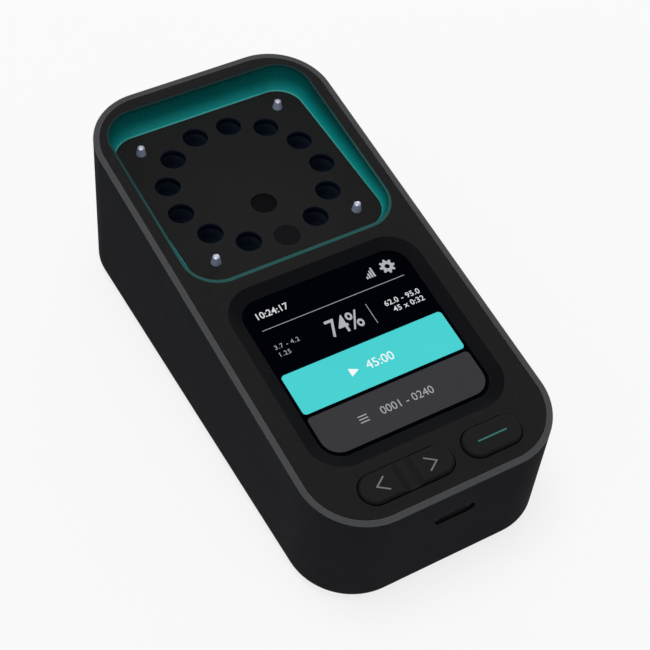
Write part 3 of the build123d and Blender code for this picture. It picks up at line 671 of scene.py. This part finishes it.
# %% [markdown]
# A few fittings are too fine for the CAD, so they are drawn here as faces. Each becomes a mesh
# whose faces all look outward, and then a piece that is fixed to the case and shown in one
# material. One helper puts any object in the scene, lamps and camera too.

# %% Pieces from drawn faces


def close_mesh(drawn, name):
    """Turns drawn faces outward and gives them as a mesh."""
    bmesh.ops.recalc_face_normals(drawn, faces=drawn.faces)
    mesh = bpy.data.meshes.new(name)
    drawn.to_mesh(mesh)
    drawn.free()
    return mesh


def new_object(name, data):
    """An object in the scene, from its mesh, curve, light or lens."""
    made = bpy.data.objects.new(name, data)
    bpy.context.scene.collection.objects.link(made)
    return made


def add_piece(mesh, name, material):
    """Shows a mesh as a piece of the case, in one material."""
    mesh.materials.clear()
    mesh.materials.append(material)
    piece = new_object(name, mesh)
    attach(piece, "case")
    return piece


# %% [markdown]
# The display's picture is drawn on the glass as thin plates, in millimetres across and up from
# the middle of the glass. A plate is a flat outline with a little thickness, made in mesh code,
# so that it's a closed solid with no stray faces.

# %% Plates on the glass
plate_thickness = 0.02 * MM
arc_steps = 8


def rounded_outline(left, right, low, high, upper, lower=None):
    """A rectangle with rounded corners, whose lower ones may have a radius of their own."""
    lower = lower or upper
    corners = [(right, high, 0, upper), (left, high, 90, upper), (left, low, 180, lower),
               (right, low, 270, lower)]
    points = []
    for x, y, start, radius in corners:
        cx = x - radius * (1 if x == right else -1)
        cy = y - radius * (1 if y == high else -1)
        for step in range(arc_steps + 1):
            angle = math.radians(start + 90 * step / arc_steps)
            points.append((cx + radius * math.cos(angle), cy + radius * math.sin(angle)))
    return points


def lay_on_glass(mesh, name, material):
    """Puts a mesh, drawn in metres on a flat sheet, on the display's glass."""
    mesh.transform(glass_place)
    add_piece(mesh, name, material)


def raise_outline(drawn, outline, low, high):
    """A flat outline in millimetres, raised between two heights in metres."""
    face = drawn.faces.new([drawn.verts.new((x * MM, y * MM, low)) for x, y in outline])
    raised = bmesh.ops.extrude_face_region(drawn, geom=[face])["geom"]
    corners = [item for item in raised if isinstance(item, bmesh.types.BMVert)]
    bmesh.ops.translate(drawn, verts=corners, vec=(0, 0, high - low))


def plate(name, outline, material, lift=0.0):
    """A thin plate with that outline, in millimetres on the glass."""
    drawn = bmesh.new()
    raise_outline(drawn, outline, lift * MM, lift * MM + plate_thickness)
    lay_on_glass(close_mesh(drawn, name), name, material)


# %% [markdown]
# The lower half of the picture is two wide blocks. Their outer corners follow the rounded
# corners of the glass, and their inner ones are only just eased, as buttons on such screens are.

# %% Blocks and lines of the picture
block_left, block_right = -20.44, 20.36
upper_low, upper_high = -9.11, 1.55
lower_low, lower_high = -20.47, -10.01
eased, swept = 0.9, 4.3
rule_left, rule_right, rule_y = -18.44, 18.06, 13.41
divider_x, divider_low, divider_high = 5.96, 4.66, 10.19
line_half, line_ease = 0.07, 0.06
plate("screen_block_upper",
      rounded_outline(block_left, block_right, upper_low, upper_high, eased), lit_teal)
plate("screen_block_lower",
      rounded_outline(block_left, block_right, lower_low, lower_high, eased, swept), lit_grey)
plate("screen_rule",
      rounded_outline(rule_left, rule_right, rule_y - line_half, rule_y + line_half, line_ease),
      lit_soft)
plate("screen_divider",
      rounded_outline(divider_x - line_half, divider_x + line_half, divider_low, divider_high,
                      line_ease), lit_soft)
print("blocks and lines drawn")

# %% [markdown]
# A settings wheel is a ring with teeth. Its outline is worked out from the number of teeth, and
# the hole is closed to a ring by joining the outer and inner loops with faces, which gives clean
# quads where a Boolean cut would give slivers.

# %% The settings wheel


def ring_plate(name, outer, inner, material):
    """A plate between two outlines that have the same number of points."""
    drawn = bmesh.new()
    layers = []
    for height in (0.0, plate_thickness):
        layers.append([[drawn.verts.new((x * MM, y * MM, height)) for x, y in line]
                       for line in (outer, inner)])
    count = len(outer)
    (low_out, low_in), (high_out, high_in) = layers
    for i in range(count):
        j = (i + 1) % count
        drawn.faces.new((high_out[i], high_out[j], high_in[j], high_in[i]))
        drawn.faces.new((low_out[j], low_out[i], low_in[i], low_in[j]))
        drawn.faces.new((low_out[i], low_out[j], high_out[j], high_out[i]))
        drawn.faces.new((low_in[j], low_in[i], high_in[i], high_in[j]))
    lay_on_glass(close_mesh(drawn, name), name, material)


def wheel_outlines(x, y, tip, root, bore, teeth=8, foot_half=0.30, tip_half=0.17):
    """The outer and inner outlines of a toothed wheel. The halves are shares of a tooth's step."""
    outer, inner = [], []
    for tooth in range(teeth):
        for share, radius in ((-foot_half, root), (-tip_half, tip), (tip_half, tip),
                              (foot_half, root)):
            angle = 2 * math.pi * (tooth + share) / teeth
            outer.append((x + radius * math.cos(angle), y + radius * math.sin(angle)))
            inner.append((x + bore * math.cos(angle), y + bore * math.sin(angle)))
    return outer, inner


icon_y = 17.1
wheel_x, wheel_tip, wheel_root, wheel_bore = 15.76, 1.9, 1.42, 0.62
ring_plate("screen_wheel", *wheel_outlines(wheel_x, icon_y, wheel_tip, wheel_root, wheel_bore),
           lit_pale)
print("wheel drawn")

# %% [markdown]
# Beside the wheel stand four bars of rising height, the common sign for a signal. One loop
# draws them.

# %% The signal bars
bars_left, bar_width, bar_step = 9.8, 0.42, 0.62
bar_foot, bar_height, bar_ease = icon_y - 1.3, 0.7, 0.08
for bar in range(4):
    left, high = bars_left + bar * bar_step, bar_foot + bar_height + bar * bar_step
    plate(f"screen_signal_{bar + 1}",
          rounded_outline(left, left + bar_width, bar_foot, high, bar_ease), lit_pale)
print("bars drawn")

# %% [markdown]
# Words stay off the part, so the picture shows plain numbers: a clock, a percentage, voltages,
# temperatures, times and a range of record numbers. Each line is a text curve, turned into a
# closed mesh. A small offset makes a stroke bolder, and a squeeze makes a narrow letter. Numbers
# on the two blocks are lifted by the thickness of a block.

# %% Numbers on the display
capital_share = 0.73
on_block = plate_thickness / MM
start_y = -3.98


def letters(name, text, x, y, height, material, align="CENTER", bold=0.0, squeeze=1.0,
            spacing=1.0, lift=0.0):
    """A line of numbers whose capitals stand that many millimetres high."""
    curve = bpy.data.curves.new(name, "FONT")
    curve.body = text
    curve.size = height / capital_share * MM
    curve.align_x = align
    curve.align_y = "CENTER"
    curve.offset = bold * MM
    curve.extrude = plate_thickness / 2
    curve.space_character = spacing
    curve.resolution_u = 4
    drawn = new_object(name + "_curve", curve)
    bpy.context.view_layer.update()
    mesh = bpy.data.meshes.new_from_object(drawn.evaluated_get(
        bpy.context.evaluated_depsgraph_get()))
    bpy.data.objects.remove(drawn)
    centred = Matrix.Translation((x * MM, y * MM, plate_thickness / 2 + lift * MM))
    mesh.transform(centred @ Matrix.Diagonal((squeeze, 1, 1, 1)))
    lay_on_glass(mesh, name, material)


letters("screen_clock", "10:24:17", -18.24, icon_y, 1.75, lit_white, "LEFT", bold=0.03)
letters("screen_percent", "74%", -0.9, 7.4, 4.7, lit_pale, bold=0.05, squeeze=0.81)
letters("screen_low", "3.7 - 4.2", -18.1, 8.4, 1.15, lit_soft, "LEFT", spacing=1.15)
letters("screen_high", "1.25", -18.1, 6.4, 1.15, lit_soft, "LEFT", spacing=1.15)
letters("screen_count", "62.0 - 95.0", 19.0, 8.3, 1.45, lit_white, "RIGHT", bold=0.02,
        spacing=1.06)
letters("screen_total", "45 x 0:32", 19.0, 6.2, 1.45, lit_white, "RIGHT", bold=0.02,
        spacing=1.06)
letters("screen_upper_text", "45:00", 1.4, start_y, 2.3, lit_bright, lift=on_block)
letters("screen_lower_text", "0001 - 0240", 1.6, -15.2, 2.0, lit_soft, lift=on_block)
print("numbers drawn")

# %% [markdown]
# The start sign is a triangle that points right, and the list sign is three short lines. They
# stand before the numbers on the two blocks.

# %% Signs on the blocks
start_left, start_tip, start_half = -6.2, -4.0, 1.07
plate("screen_start", [(start_left, start_y - start_half), (start_tip, start_y),
                       (start_left, start_y + start_half)], lit_bright, lift=on_block)
list_left, list_right, list_low, list_step = -10.4, -8.2, -15.9, 0.75
list_half, list_ease = 0.12, 0.05
for row in range(3):
    line_y = list_low + row * list_step
    plate(f"screen_list_{row + 1}",
          rounded_outline(list_left, list_right, line_y - list_half, line_y + list_half,
                          list_ease), lit_soft, lift=on_block)
print("signs drawn")

# %% [markdown]
# Each well shows a dark collar at the deck's surface, as if the block reached up through the
# plate's hole. The collar is a lathe profile with a thin eased lip, turned about each well's axis
# and a hair clear of the hole. There are twelve of them on thirteen even steps, because the front
# place is closed.

# %% Collars of the wells
ring_radius = 18.8 * MM
hole_radius = 3.1 * MM
plate_depth = 1.6 * MM
collar_gap, collar_wall, collar_ease = 0.02 * MM, 0.08 * MM, 0.02 * MM


def turned(drawn, centre, profile, steps=48):
    """A ring turned from a closed profile of (radius, height) points."""
    rows = []
    for step in range(steps):
        angle = 2 * math.pi * step / steps
        rows.append([drawn.verts.new((centre.x + r * math.cos(angle),
                                      centre.y + r * math.sin(angle), centre.z + z))
                     for r, z in profile])
    for a, b in zip(rows, rows[1:] + rows[:1]):
        for i in range(len(profile)):
            j = (i + 1) % len(profile)
            drawn.faces.new((a[i], b[i], b[j], a[j]))


def make_collars(places=13):
    """A collar in every place of the ring but the first."""
    drawn = bmesh.new()
    outer, ease = hole_radius - collar_gap, collar_ease
    throat = outer - collar_wall
    profile = [(throat, -plate_depth), (outer, -plate_depth), (outer, -2 * ease),
               (outer - ease, -ease), (throat + ease, -ease), (throat, -3 * ease)]
    for place in range(1, places):
        angle = math.radians(-90 + 360 * place / places)
        centre = ring_centre + Vector((math.cos(angle), math.sin(angle), 0)) * ring_radius
        turned(drawn, centre, profile)
    for face in drawn.faces:
        face.smooth = True
    mesh = close_mesh(drawn, "well_collars")
    return add_piece(mesh, "well_collars", collar_metal)


collars = make_collars()
print("collars turned:", len(collars.data.polygons), "faces")

# %% [markdown]
# The screws that hold the base have a head with a six-sided socket. The CAD piece is only the
# plain head and shank, so a screw with a real socket takes its place. It's built up from rings
# of points, joined from one ring to the next, and the socket's rings are drawn in to six corners.

# %% Base screws with sockets
head_radius, head_height, shank_radius = 2.4 * MM, 1.2 * MM, 1.25 * MM
socket_radius, socket_depth, socket_sides = 1.2 * MM, 0.9 * MM, 6
screw_ease, drill_point = 0.2 * MM, 0.02 * MM
socket_taper, socket_flare = 0.9, 1.12


def screw_positions(node):
    """The middle of each separate solid in a CAD piece, from the places of its points."""
    low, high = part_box(node)
    points = [v.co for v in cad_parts[node].data.vertices]
    middle = (low + high) / 2
    found = []
    for across in (-1, 1):
        for along in (-1, 1):
            near = [p for p in points if (p.x - middle.x) * across > 0
                    and (p.y - middle.y) * along > 0]
            found.append((sum((Vector((p.x, p.y, 0)) for p in near), Vector()) / len(near),
                          min(p.z for p in near), max(p.z for p in near)))
    return found


def turned_screw(drawn, centre, low, high, round_steps=48):
    """A screw, head down, with a six-sided socket in its head."""
    def loop(radius, z, sides=0):
        """A ring of points at a height, round or drawn in to a number of flat sides."""
        ring = []
        for step in range(round_steps):
            angle = 2 * math.pi * step / round_steps
            reach = radius
            if sides:
                within = (angle % (2 * math.pi / sides)) - math.pi / sides
                reach = radius * math.cos(math.pi / sides) / math.cos(within)
            ring.append(drawn.verts.new((centre.x + reach * math.cos(angle),
                                         centre.y + reach * math.sin(angle), z)))
        return ring
    rings = [loop(drill_point, low + socket_depth + screw_ease),
             loop(socket_radius * socket_taper, low + socket_depth, socket_sides),
             loop(socket_radius, low + screw_ease / 2, socket_sides),
             loop(socket_radius * socket_flare, low), loop(head_radius - screw_ease, low),
             loop(head_radius, low + screw_ease), loop(head_radius, low + head_height),
             loop(shank_radius, low + head_height), loop(shank_radius, high - screw_ease),
             loop(shank_radius - screw_ease, high)]
    for lower, upper in zip(rings, rings[1:]):
        for i in range(round_steps):
            j = (i + 1) % round_steps
            drawn.faces.new((lower[i], lower[j], upper[j], upper[i]))
    drawn.faces.new(rings[0])
    drawn.faces.new(rings[-1])


def make_base_screws():
    """Four screws with sockets, in the place of the CAD screws."""
    drawn = bmesh.new()
    for centre, low, high in screw_positions("base_screws"):
        turned_screw(drawn, centre, low, high)
    mesh = close_mesh(drawn, "base_screw_heads")
    piece = add_piece(mesh, "base_screw_heads", screw_steel)
    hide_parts("base_screws")
    return piece


base_screw_heads = make_base_screws()
print("screws turned:", len(base_screw_heads.data.polygons), "faces")

# %% [markdown]
# The socket's tongue carries a row of gilt contacts on both faces. Each is a thin strip with
# round ends, raised from an outline as the plates on the glass are, and a loop lays them along
# the tongue.

# %% Contacts on the tongue


def make_contacts(count=12, pitch=0.5, width=0.24, length=4.4, set_back=0.4, rise=0.02 * MM):
    """Two rows of strips, in millimetres apart from their rise."""
    low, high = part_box("socket_tongue")
    middle, start = (low.x + high.x) / 2 / MM, low.y / MM + set_back
    end_radius = width / 2.1
    drawn = bmesh.new()
    for level in (low.z, high.z):
        for i in range(count):
            left = middle + (i - (count - 1) / 2) * pitch - width / 2
            strip = rounded_outline(left, left + width, start, start + length, end_radius)
            raise_outline(drawn, strip, level - rise, level + rise)
    mesh = close_mesh(drawn, "socket_contacts")
    return add_piece(mesh, "socket_contacts", contact_gold)


contacts = make_contacts()
print("contacts laid:", len(contacts.data.polygons), "faces")

# %% [markdown]
# The studio is a wide pale floor under a pale room. For the camera the room is plain white. In
# reflections it is white near the floor and darker overhead, and that ceiling is what the smooth
# dark top of the unit mirrors. The floor is paper near the unit, where it has to take the
# shadow, and turns to the room's white further out, so that no line shows where the two meet.

# %% Room and floor


def make_room(soft=0.30, ceiling=0.06, pale_until=0.15, dark_from=0.75):
    """A room that the camera sees as white and that mirrors see as darker overhead."""
    world = bpy.data.worlds.new("room")
    bpy.context.scene.world = world
    world.use_nodes = True
    tree = world.node_tree
    tree.nodes.clear()
    ray = tree.nodes.new("ShaderNodeLightPath").outputs
    towards = tree.nodes.new("ShaderNodeTexCoord").outputs["Generated"]
    height = add(tree, "ShaderNodeSeparateXYZ", {0: towards}).outputs["Z"]
    mirrored = remap(tree, height, pale_until, dark_from, 1.0, ceiling)
    seen = maths(tree, "MAXIMUM", ray["Is Glossy Ray"], ray["Is Transmission Ray"])
    strength = add(tree, "ShaderNodeMix", {0: seen, 2: soft, 3: mirrored}).outputs[0]
    strength = add(tree, "ShaderNodeMix", {0: ray["Is Camera Ray"], 2: strength, 3: 1.0}).outputs[0]
    back = add(tree, "ShaderNodeBackground", {"Color": (1, 1, 1, 1), "Strength": strength})
    end = tree.nodes.new("ShaderNodeOutputWorld")
    tree.links.new(back.outputs[0], end.inputs["Surface"])


def make_floor(reach=6.0, paper_until=0.1, white_from=2.5, lift=0.8):
    """A sheet of paper that is lit from above, lifted towards white, and clear from below."""
    material, tree, shader = new_material("floor_paper", Specular_IOR_Level=0.1, Roughness=0.9)
    place = own_place(tree)
    fibre = noise(tree, place, 900.0, detail=3.0)
    paper = blend(tree, fibre, tint(240, 240, 240), tint(246, 246, 246))
    feed(tree, shader, Base_Color=paper)
    ray = tree.nodes.new("ShaderNodeLightPath").outputs
    seen = maths(tree, "MAXIMUM", ray["Is Camera Ray"],
                 maths(tree, "MAXIMUM", ray["Is Glossy Ray"], ray["Is Transmission Ray"]))
    glow = add(tree, "ShaderNodeEmission", {"Color": (1, 1, 1, 1), "Strength": 1.0})
    away = add(tree, "ShaderNodeVectorMath", {0: place}, operation="LENGTH").outputs["Value"]
    share = maths(tree, "MULTIPLY", seen, remap(tree, away, paper_until, white_from, lift, 1.0))
    lifted = add(tree, "ShaderNodeMixShader", {0: share, 1: shader.outputs[0], 2: glow.outputs[0]})
    behind = tree.nodes.new("ShaderNodeNewGeometry").outputs["Backfacing"]
    opened = maths(tree, "MAXIMUM", behind, ray["Is Shadow Ray"])
    clear = tree.nodes.new("ShaderNodeBsdfTransparent").outputs[0]
    shown = add(tree, "ShaderNodeMixShader", {0: opened, 1: lifted.outputs[0], 2: clear})
    tree.links.new(shown.outputs[0], tree.nodes["Material Output"].inputs["Surface"])
    drawn = bmesh.new()
    drawn.faces.new([drawn.verts.new((x, y, cad_box[0][2])) for x, y in
                     ((-reach, -reach), (reach, -reach), (reach, reach), (-reach, reach))])
    mesh = bpy.data.meshes.new("floor")
    drawn.to_mesh(mesh)
    drawn.free()
    mesh.materials.append(material)
    floor = new_object("floor", mesh)


make_room()
make_floor()
print("room and floor made")

# %% [markdown]
# Soft lamps do the rest. The strong one hangs above, so that level faces are lit as written and
# the upright case stays dark. Weak ones on the left and in front lift the case's near sides a
# little, and a low one behind on the right does so for the far sides. The last stands under the
# floor, which lets its light through, so that the base can be seen too. All keep out of what the
# glass mirrors.

# %% Lamps


def lamp(name, place, power, size=0.5):
    """A square soft lamp that looks at the unit."""
    light = bpy.data.lights.new(name, "AREA")
    light.energy = power
    light.size = size
    made = new_object(name, light)
    made.location = Vector(place)
    made.rotation_mode = "QUATERNION"
    made.rotation_quaternion = (-made.location).to_track_quat("-Z", "Y")


lamp("lamp_over", (-0.12, 0.10, 1.1), power=6.2)
lamp("lamp_left", (-0.9, -0.1, 0.7), power=0.8)
lamp("lamp_back", (0.85, 0.85, 0.14), power=5.0)
lamp("lamp_front", (0.1, -1.2, 0.2), power=1.2)
lamp("lamp_under", (0.0, 0.0, -1.0), power=10.0, size=0.6)
print("lamps set")

# %% [markdown]
# The camera stands where the photograph's stood: its direction, its distance from the ring and
# its small roll were worked out from the ring, the rim and the edges of the case. The sensor is
# 36 mm wide.

# %% Camera
view_azimuth = math.radians(-35.269)
view_elevation = math.radians(50.729)
view_roll = math.radians(6.704)
focal_length, sensor_width = 89.695, 36.0
camera_offset = Vector((-134.8, -228.4, 273.8)) * MM


def make_camera():
    """The photograph's camera, from its direction, roll and place."""
    back = Vector((math.sin(view_azimuth) * math.cos(view_elevation),
                   -math.cos(view_azimuth) * math.cos(view_elevation),
                   math.sin(view_elevation)))
    lens = bpy.data.cameras.new("camera")
    lens.lens = focal_length
    lens.sensor_width = sensor_width
    lens.clip_start = 0.01
    made = new_object("camera", lens)
    made.location = ring_centre + camera_offset
    made.rotation_mode = "QUATERNION"
    level = (-back).to_track_quat("-Z", "Y")
    made.rotation_quaternion = level @ Matrix.Rotation(view_roll, 3, "Z").to_quaternion()
    bpy.context.scene.camera = made
    return made


camera = make_camera()
bpy.context.scene.view_settings.view_transform = "Standard"
print("camera at", camera.location)
